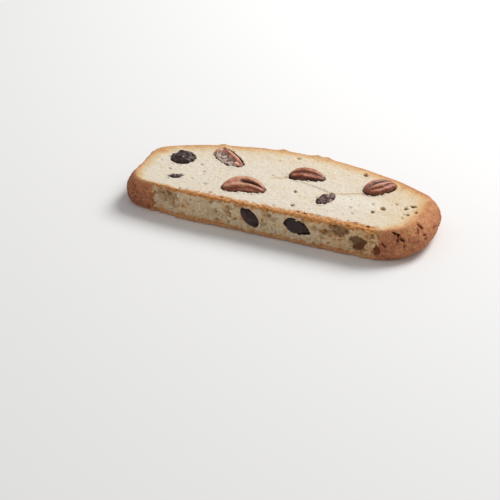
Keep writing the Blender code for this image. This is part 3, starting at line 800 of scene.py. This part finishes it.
crumb_finish = Finish("baked_crumb")
toast_and_shade_mask = crumb_finish.mask("toast_and_shade")
mottle = crumb_finish.grain(size=3.5, detail=4)
speckle = crumb_finish.grain(size=0.7)
mottled_toast_and_shade = crumb_finish.math("ADD", toast_and_shade_mask, crumb_finish.spread(mottle, -MOTTLE, MOTTLE))
browner = crumb_finish.math("MULTIPLY", crumb_finish.spread(speckle, -SPECKLE, SPECKLE), toast_and_shade_mask)
mottled_toast_and_shade = crumb_finish.math("ADD", mottled_toast_and_shade, browner)
colour = crumb_finish.ramp(mottled_toast_and_shade, TOAST_COLOURS)
lip_colour = crumb_finish.ramp(crumb_finish.grain(size=1.3, detail=4), LIP_COLOURS)
colour = crumb_finish.blend(crumb_finish.mask("lip"), colour, lip_colour)
colour = crumb_finish.blend(crumb_finish.mask("whiter"), colour, WHITER_COLOUR)
shade = crumb_finish.spread(crumb_finish.grain(size=1.1, detail=5), *SHADES)
tint = crumb_finish.nodes.new("ShaderNodeCombineColor")
for channel in ("Red", "Green", "Blue"):
    crumb_finish.join(shade, tint.inputs[channel])
colour = crumb_finish.blend(1.0, colour, tint.outputs["Color"], "MULTIPLY")
# Painted shade: small dark pore spots on the crumb, for pores too small to model, also pressed into the
# relief.
pores = crumb_finish.cells(size=1.25)
pore_spots = crumb_finish.span(pores.outputs["Distance"], *PORE_SIZES, 1, 0)
pore_chance = crumb_finish.nodes.new("ShaderNodeSeparateColor")
crumb_finish.join(pores.outputs["Color"], pore_chance.inputs["Color"])
few_pores = crumb_finish.span(pore_chance.outputs["Red"], *PORE_CHANCES)
pore_spots = crumb_finish.math("MULTIPLY", pore_spots, few_pores)
pore_spots = crumb_finish.math("MULTIPLY", pore_spots, crumb_finish.mask("crumb"))
colour = crumb_finish.blend(crumb_finish.math("MULTIPLY", pore_spots, PORE_SHADE_COVER), colour, PORE_SHADE_COLOUR)
# Painted shade darkens the colour in the hollows.
painted_shade_share = crumb_finish.math("MULTIPLY", crumb_finish.mask("painted_shade"), PAINTED_SHADE_COVER)
colour = crumb_finish.blend(painted_shade_share, colour, PAINTED_SHADE_COLOUR)
crumb_finish.join(colour, crumb_finish.shader.inputs["Base Color"])
fine_grains = crumb_finish.grain(size=0.55, detail=4)
fine_relief = crumb_finish.math("ADD", fine_grains, crumb_finish.grain(size=1.6))
fine_relief = crumb_finish.math("SUBTRACT", fine_relief, pore_spots)
crumb_finish.bump(fine_relief, CRUMB_BUMP)
crumb_finish.join(crumb_finish.spread(mottle, *CRUMB_ROUGHNESS), crumb_finish.shader.inputs["Roughness"])
dough.data.materials.append(crumb_finish.material)
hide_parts("biscuit")
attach(dough, "root")


# Pecan halves baked into the dough with their furrowed backs up: brown papery skin over two plump lobes,
# with a deep furrow along the middle and finer ones beside it. The knife shaved the ones underneath flat.
# Each row: node, place, turns in degrees, length and width, height and depth, bend sideways, how deep the
# middle furrow is and where along the half it starts, and how much darker the skin is.
PECANS = (
    ("pecan_face_1", (51.0, 17.0, THICKNESS), (14, 0, 10), (19.4, 10.4), (3.4, 3.6), 2.8, (1.0, -0.30), 0.07),
    ("pecan_face_2", (74.0, 35.4, THICKNESS), (20, 0, 7), (16.0, 8.3), (2.6, 3.4), 1.4, (0.5, -1.2), 0.27),
    ("pecan_face_3", (107.0, 36.2, THICKNESS), (-6, 0, 48), (15.0, 9.8), (3.6, 3.8), 0.4, (1.0, -1.2), 0.20),
    (
        "pecan_face_4",
        (35.2, 38.4, THICKNESS),
        (-24, 0, -40),
        (19.5, 10.4),
        (2.0, 3.6),
        -1.2,
        (0.8, -1.2),
        -0.04,
    ),
    ("pecan_under_1", (33.0, 20.5, 1.2), (0, 0, 24), (19.5, 10.4), (3.6, 1.6), 1.0, (1.0, -1.2), 0.0),
    ("pecan_under_2", (92.0, 38.0, 1.2), (0, 0, -28), (20.0, 11.0), (3.8, 1.8), -1.2, (1.0, -1.2), 0.0),
)
PECAN_GROWTH = 0.26
TOP_SHARE = 0.93
SHAVED_PALER = 0.12
SEED_STEP = 2.9
LOWEST_FRUIT = 0.05
TIP_POWER = 2.3
NARROWER_TIP = 0.10

# The lines along the back of a pecan half: the turn from its middle in degrees, half the width, the height.
SKIN_RADIUS = 0.98
MIDDLE_FURROW = (0, 11, 0.44)
FURROW_LEAST = 0.15
FURROW_GROWS = 0.85
FURROW_RUN_OUT = 0.3
MIDDLE_RIDGE = (26, 9, 0.05)
SIDE_FURROW = (47, 9, 0.13)
SIDE_FURROW_WAVE = 5
SIDE_FURROW_BENDS = 4
OUTER_FURROW = (80, 8, 0.08)

# Lumps and wrinkles: how high, how many along the half, and how many degrees round it.
LUMPS = (0.05, 3.2, 28)
WRINKLES = (0.045, 9, 13)
# Painted shade in the furrows and the wrinkles' folds, and painted highlight on the middle ridges and the
# wrinkles' crests.
FURROW_SHADE = 2.3
SIDE_FURROW_SHADE = 1.1
WRINKLE_SHADE = 1.6
RIDGE_HIGHLIGHT = 2.2
# Painted shade at the foot where the nut meets the dough, and painted light on the parts that face up.
FOOT_HEIGHTS = (0.1, 1.4)
FOOT_SHADE = 0.40
SKY_TILTS = (0.4, 1.0)
UPWARD_HIGHLIGHT = 0.22
FURROW_RANGE = (-0.4, 1)

# The broken half: where its skin ends across and along it, and how high the bare flesh lies.
BREAK_ACROSS = (-1.5, -0.7)
BREAK_ALONG = (-6.4, -5.2)
BREAK_WAVE_ACROSS = 1.8
BREAK_WAVE_ALONG = 1.6
FLESH_HEIGHT = 0.55
FLESH_WAVE = 0.45
SHAVED_HEIGHTS = (0.1, 0.4)
SKIN_TONES = (0.62, 0.94)
SKIN_SPECKLE = 0.08
SKIN_ROUGHNESS = (0.34, 0.56)
SKIN_BUMP = 0.16
SKIN_COLOURS = (
    (0.00, (0.028, 0.007, 0.004, 1)),
    (0.35, (0.17, 0.043, 0.020, 1)),
    (0.60, (0.34, 0.098, 0.046, 1)),
    (0.82, (0.52, 0.195, 0.100, 1)),
    (1.00, (0.72, 0.38, 0.24, 1)),
)
FLESH_COLOURS = (
    (0.38, (0.15, 0.060, 0.045, 1)),
    (0.47, (0.36, 0.23, 0.185, 1)),
    (0.60, (0.62, 0.50, 0.42, 1)),
)


def line_along(turn, share, line, wave=0.0):
    """How high a line along the back stands at a turn from its middle, fading out at both tips."""
    middle, half_width, height = line
    return height * math.exp(-(((abs(turn) - middle - wave) / half_width) ** 2)) * (1 - share**4)


def lumps_of(turn, share, lumps, seed):
    """How high the skin's lumps stand at a turn from the back's middle and a share along the half."""
    height, along, degrees = lumps
    return height * noise.noise(Vector((share * along, turn / degrees, seed)))


def furrowed_radius(turn, share, seed, groove):
    """How far the skin lies from the axis at a turn and a share along the half, and its painted shade and
    highlight there.
    """
    groove_depth, groove_start = groove
    middle = groove_depth * line_along(turn, share, MIDDLE_FURROW)
    furrow_starts = float(rise(share, groove_start, groove_start + FURROW_RUN_OUT))
    middle *= FURROW_LEAST + FURROW_GROWS * furrow_starts
    ridge = line_along(turn, share, MIDDLE_RIDGE)
    wave = SIDE_FURROW_WAVE * math.sin(SIDE_FURROW_BENDS * share + seed)
    beside = line_along(turn, share, SIDE_FURROW, wave)
    outer = line_along(turn, share, OUTER_FURROW)
    lumps = lumps_of(turn, share, LUMPS, seed)
    wrinkles = lumps_of(turn, share, WRINKLES, seed + 5)
    crease_shade = FURROW_SHADE * middle + SIDE_FURROW_SHADE * (beside + outer) - WRINKLE_SHADE * wrinkles - RIDGE_HIGHLIGHT * ridge
    return SKIN_RADIUS + ridge - middle - beside - outer + lumps + wrinkles, crease_shade


def pecan_half(name, place, turns, across, depths, bend, groove, seed):
    """A pecan half shaped from a ball whose poles are its tips, then turned and set in its place.

    The second result tells of each vertex its painted shade and highlight, and how far across and along the
    half it lies.
    """
    bpy.ops.object.select_all(action="DESELECT")
    bpy.ops.mesh.primitive_uv_sphere_add(segments=72, ring_count=60, radius=1)
    piece = bpy.context.object
    piece.name = name
    piece.data.name = name
    bpy.ops.object.mode_set(mode="EDIT")
    bpy.ops.mesh.select_all(action="SELECT")
    bpy.ops.transform.rotate(value=math.pi / 2, orient_axis="Y", center_override=(0, 0, 0))
    bpy.ops.object.mode_set(mode="OBJECT")
    length, width = across
    rise_up, depth = depths
    turned = Euler([math.radians(turn) for turn in turns]).to_matrix().to_4x4()
    matrix = Matrix.Translation(Vector(place)) @ turned
    finished = np.empty((len(piece.data.vertices), 3), np.float32)
    measures = np.empty((len(piece.data.vertices), 3), np.float32)
    for index, vertex in enumerate(piece.data.vertices):
        share = max(min(vertex.co.x, 1), -1)
        angle = math.atan2(vertex.co.z, vertex.co.y)
        turn = (math.degrees(angle) - 90 + 180) % 360 - 180
        radius, painted_light_and_tone = furrowed_radius(turn, share, seed, groove)
        girth = math.sqrt(max(1 - abs(share) ** TIP_POWER, 0)) * (1 - NARROWER_TIP * share)
        radius = radius * girth
        high = rise_up * TOP_SHARE if math.sin(angle) > 0 else depth
        local = Vector((
            share * (length / 2 + PECAN_GROWTH),
            math.cos(angle) * (width / 2 * radius + PECAN_GROWTH * girth) - bend * share**2,
            math.sin(angle) * (high * radius + PECAN_GROWTH * girth),
        ))
        finished[index] = matrix @ local
        finished[index, 2] = max(finished[index, 2], LOWEST_FRUIT)
        measures[index] = (painted_light_and_tone, local.y, local.x)
    move_vertices(piece, finished)
    return piece, measures


skin_finish = Finish("pecan_skin")
skin_tone = skin_finish.spread(skin_finish.grain(size=2.2, detail=4), *SKIN_TONES)
skin_tone = skin_finish.math("SUBTRACT", skin_tone, skin_finish.mask("painted_light_and_tone"))
skin_speckle = skin_finish.spread(skin_finish.grain(size=0.5), -SKIN_SPECKLE, SKIN_SPECKLE)
skin_tone = skin_finish.math("ADD", skin_tone, skin_speckle)
skin_colour = skin_finish.ramp(skin_tone, SKIN_COLOURS)
flesh_mask = skin_finish.mask("flesh")
flesh_tone = skin_finish.math("ADD", skin_finish.grain(size=1.5, detail=5), skin_finish.mask("paler"))
skin_colour = skin_finish.blend(flesh_mask, skin_colour, skin_finish.ramp(flesh_tone, FLESH_COLOURS))
skin_finish.join(skin_colour, skin_finish.shader.inputs["Base Color"])
skin_roughness = skin_finish.spread(skin_finish.grain(size=1.2), *SKIN_ROUGHNESS)
skin_finish.join(skin_roughness, skin_finish.shader.inputs["Roughness"])
skin_relief = skin_finish.math("ADD", skin_finish.grain(size=0.45), skin_finish.grain(size=1.3))
skin_finish.bump(skin_relief, SKIN_BUMP)

for number, (node, place, turns, across, depths, bend, groove, darker) in enumerate(PECANS, 1):
    half_name = node.replace("pecan", "pecan_half")
    nut, measures = pecan_half(half_name, place, turns, across, depths, bend, groove, SEED_STEP * number)
    crease_light, sideways, lengthways = measures.T
    broken = node == "pecan_face_4"
    shaved = node.startswith("pecan_under")
    nut_places, nut_normals = mesh_arrays(nut)
    # Painted shade and light: the creases, the foot by the dough and the parts facing up, with each nut's own
    # darker tone.
    foot = 1 - rise(nut_places[:, 2] - THICKNESS, *FOOT_HEIGHTS)
    facing_sky = rise(nut_normals[:, 2], *SKY_TILTS)
    darkness = crease_light + darker + FOOT_SHADE * foot - UPWARD_HIGHLIGHT * facing_sky
    paint(nut, "painted_light_and_tone", np.clip(darkness, *FURROW_RANGE))
    flesh = np.zeros(len(nut_places), np.float32)
    if broken:
        ragged_edge = uneven(nut_places, length=2.2, seed=61.0)
        flesh = 1 - rise(sideways + BREAK_WAVE_ACROSS * ragged_edge, *BREAK_ACROSS)
        flesh *= rise(lengthways + BREAK_WAVE_ALONG * ragged_edge, *BREAK_ALONG)
        level = THICKNESS + FLESH_HEIGHT + FLESH_WAVE * uneven(nut_places, length=1.7, seed=71.0)
        lowered = np.minimum(nut_places[:, 2], level)
        nut_places[:, 2] += (lowered - nut_places[:, 2]) * flesh
        move_vertices(nut, nut_places)
    if shaved:
        flesh = 1 - rise(nut_places[:, 2], *SHAVED_HEIGHTS)
    paint(nut, "flesh", flesh)
    paint(nut, "paler", np.full(len(nut_places), SHAVED_PALER if shaved else 0.0))
    nut.data.materials.append(skin_finish.material)
    select_only(nut)
    bpy.ops.object.shade_smooth()
    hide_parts(node)
    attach(nut, "root")


# Raisins and dark fruit baked into the dough: wrinkled purple-black skins with a dull shine. Some are cut
# through by the knife and lie flush with the crumb round them. Each row: node, how deep its folds are, their
# length, how much pale bloom it has, and how far it bulges out of the front side.
RAISINS = (
    ("raisin_face_left", 0.70, 3.4, 0.15, 0),
    ("raisin_face_sliver", 0.15, 1.4, 0.4, 0),
    ("raisin_face_middle", 0.60, 3.0, 1.0, 0),
    ("raisin_front_oval", 0.06, 3.2, 0.05, 0.9),
    ("raisin_front_wedge", 0.15, 3.6, 0.0, 1.6),
    ("raisin_back", 0.35, 2.6, 0.3, 0),
    ("raisin_back_right", 0.35, 2.6, 0.3, 0),
    ("raisin_under_left", 0.20, 2.4, 0.3, 0),
    ("raisin_under_middle", 0.20, 2.4, 0.3, 0),
    ("raisin_under_right", 0.20, 2.4, 0.3, 0),
)
FOLD_SHARPNESS = 2.6
FOLD_MEAN = 0.7
FOLD_SEED_STEP = 5.1
FINE_FOLD_SHARE = 0.22
FINE_FOLD_LENGTH = 0.55
FINE_FOLD_SEED_STEP = 7.3
ROUNDING_LEVELS = 3
BULGE_FACES = (-0.2, 0.4)

# Flat sides of the angular raisin: which way each one faces, and how far out it lies.
FACETS = (
    ((-0.25, -0.93, 0.27), 0.80),
    ((0.62, -0.78, 0.05), 0.86),
    ((-0.70, -0.55, -0.45), 0.88),
    ((0.20, -0.60, -0.78), 0.84),
    ((0.15, -0.55, 0.82), 0.86),
)
RAISIN_GROWTH = 0.38
FRUIT_COLOURS = (
    (0.25, (0.012, 0.004, 0.004, 1)),
    (0.55, (0.034, 0.012, 0.011, 1)),
    (0.80, (0.075, 0.030, 0.025, 1)),
)
BLOOM_COLOUR = (0.36, 0.21, 0.19, 1)
BLOOM_STARTS = (0.42, 0.66)
FRUIT_SHINE = 0.38
FRUIT_ROUGHNESS = (0.22, 0.46)
FRUIT_BUMP = 0.14

fruit_finish = Finish("raisin_skin")
fruit_colour = fruit_finish.ramp(fruit_finish.grain(size=1.6, detail=4), FRUIT_COLOURS)
bloom = fruit_finish.span(fruit_finish.grain(size=1.0, detail=4), *BLOOM_STARTS)
bloom = fruit_finish.math("MULTIPLY", fruit_finish.mask("bloom"), bloom)
fruit_colour = fruit_finish.blend(bloom, fruit_colour, BLOOM_COLOUR)
fruit_finish.join(fruit_colour, fruit_finish.shader.inputs["Base Color"])
fruit_roughness = fruit_finish.spread(fruit_finish.grain(size=1.4), *FRUIT_ROUGHNESS)
fruit_finish.join(fruit_roughness, fruit_finish.shader.inputs["Roughness"])
fruit_finish.shader.inputs["Specular IOR Level"].default_value = FRUIT_SHINE
fruit_relief = fruit_finish.math("ADD", fruit_finish.grain(size=0.5), fruit_finish.grain(size=1.4, detail=2))
fruit_finish.bump(fruit_relief, FRUIT_BUMP)


def folds_of(places, length, seed):
    """The wrinkles' height at each place, from -1 in a fold to 1 on a crest."""
    return np.clip(1 - np.abs(uneven(places, length, seed)) * FOLD_SHARPNESS, -1, 1)


for number, (node, fold, fold_length, bloom_share, bulge) in enumerate(RAISINS, 1):
    fruit = own_copy(node, node.replace("raisin", "raisin_fruit"))
    rounding = fruit.modifiers.new("rounding", "SUBSURF")
    rounding.levels = ROUNDING_LEVELS
    rounding.render_levels = ROUNDING_LEVELS
    apply_modifiers(fruit)
    fruit_places, fruit_normals = mesh_arrays(fruit)
    folds = folds_of(fruit_places, fold_length, FOLD_SEED_STEP * number)
    fine_folds = folds_of(fruit_places, FINE_FOLD_LENGTH * fold_length, FINE_FOLD_SEED_STEP * number)
    swelling = RAISIN_GROWTH + fold * (folds + FINE_FOLD_SHARE * fine_folds - FOLD_MEAN)
    fruit_places = fruit_places + fruit_normals * swelling[:, None]
    centre = (fruit_places.min(axis=0) + fruit_places.max(axis=0)) / 2
    half = (fruit_places.max(axis=0) - fruit_places.min(axis=0)) / 2
    outward = (fruit_places - centre) / half
    dome = np.clip(1 - outward[:, 0] ** 2 - outward[:, 2] ** 2, 0, 1) * rise(-outward[:, 1], *BULGE_FACES)
    fruit_places[:, 1] -= bulge * dome
    if node == "raisin_front_wedge":
        for direction, share in FACETS:
            across = np.array(direction, np.float32) / np.linalg.norm(direction)
            reach = np.linalg.norm(across * half) * share
            beyond = np.clip((fruit_places - centre) @ across - reach, 0, None)
            fruit_places -= beyond[:, None] * across
    fruit_places[:, 2] = np.maximum(fruit_places[:, 2], LOWEST_FRUIT)
    move_vertices(fruit, fruit_places)
    paint(fruit, "bloom", np.full(len(fruit_places), bloom_share))
    fruit.data.materials.append(fruit_finish.material)
    select_only(fruit)
    bpy.ops.object.shade_smooth()
    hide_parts(node)
    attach(fruit, "root")


# Loose crumbs that the knife left: small broken grains of the dough, resting on the upper face and stuck
# along its toasted front edge.
CRUMB_SEED = 5
CRUMBS_ON_EDGE = 26
CRUMBS_ON_FACE = 40
EDGE_CRUMB = {"x": (14, 114), "y": (3.4, 5.6), "size": (0.12, 0.34)}
FACE_CRUMB = {"x": (6, 124), "y": (6, 50), "size": (0.08, 0.22)}
DROP_HEIGHT = 20
DEEPEST_REST = 1.5
STEEPEST_REST = 0.5
CRUMB_WIDTHS = (0.7, 1.3)
CRUMB_HEIGHTS = (0.6, 1.0)
CRUMB_TURNS = (0, 6)
CRUMB_LUMPS = 0.10
EDGE_CRUMB_ENDS = (5.5, 6.5)
CRUMB_PALE = 0.06
EDGE_CRUMB_TOAST = 0.36
EDGE_CRUMB_LIP = 0.6
CRUMB_PATCHES = 0.1

draw = random.Random(CRUMB_SEED)
bpy.ops.object.select_all(action="DESELECT")
crumb_pieces = []
while len(crumb_pieces) < CRUMBS_ON_EDGE + CRUMBS_ON_FACE:
    kind = EDGE_CRUMB if len(crumb_pieces) < CRUMBS_ON_EDGE else FACE_CRUMB
    crumb_x = draw.uniform(*kind["x"])
    crumb_y = draw.uniform(*kind["y"])
    above = (slice_start + Vector((crumb_x, crumb_y, THICKNESS + DROP_HEIGHT))) * MM
    hit, spot, direction, _ = dough.ray_cast(above, Vector((0, 0, -1)))
    if not hit or spot.z / MM < THICKNESS - DEEPEST_REST or direction.z < STEEPEST_REST:
        continue
    size = draw.uniform(*kind["size"])
    bpy.ops.mesh.primitive_ico_sphere_add(subdivisions=2, radius=size * MM, location=spot)
    grain_piece = bpy.context.object
    grain_piece.scale = [draw.uniform(*span) for span in (CRUMB_WIDTHS, CRUMB_WIDTHS, CRUMB_HEIGHTS)]
    grain_piece.rotation_euler = [draw.uniform(*CRUMB_TURNS) for _ in range(3)]
    crumb_pieces.append(grain_piece)
for grain_piece in crumb_pieces:
    grain_piece.select_set(True)
bpy.context.view_layer.objects.active = crumb_pieces[0]
bpy.ops.object.join()
crumbs = bpy.context.object
crumbs.name = "loose_crumbs"
bpy.ops.object.transform_apply(location=True, rotation=True, scale=True)
crumb_places, crumb_normals = mesh_arrays(crumbs)
crumb_places += crumb_normals * (CRUMB_LUMPS * uneven(crumb_places, length=0.22, seed=81.0))[:, None]
move_vertices(crumbs, crumb_places)
on_edge = 1 - rise(crumb_places[:, 1], *EDGE_CRUMB_ENDS)
crumb_patches = CRUMB_PATCHES * uneven(crumb_places, length=4.0, seed=91.0)
paint(crumbs, "toast_and_shade", CRUMB_PALE + EDGE_CRUMB_TOAST * on_edge + crumb_patches)
for name in ("painted_shade", "crumb", "whiter"):
    paint(crumbs, name, np.zeros(len(crumb_places)))
paint(crumbs, "lip", EDGE_CRUMB_LIP * on_edge)
crumbs.data.materials.clear()
crumbs.data.materials.append(crumb_finish.material)
bpy.ops.object.shade_smooth()
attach(crumbs, "root")
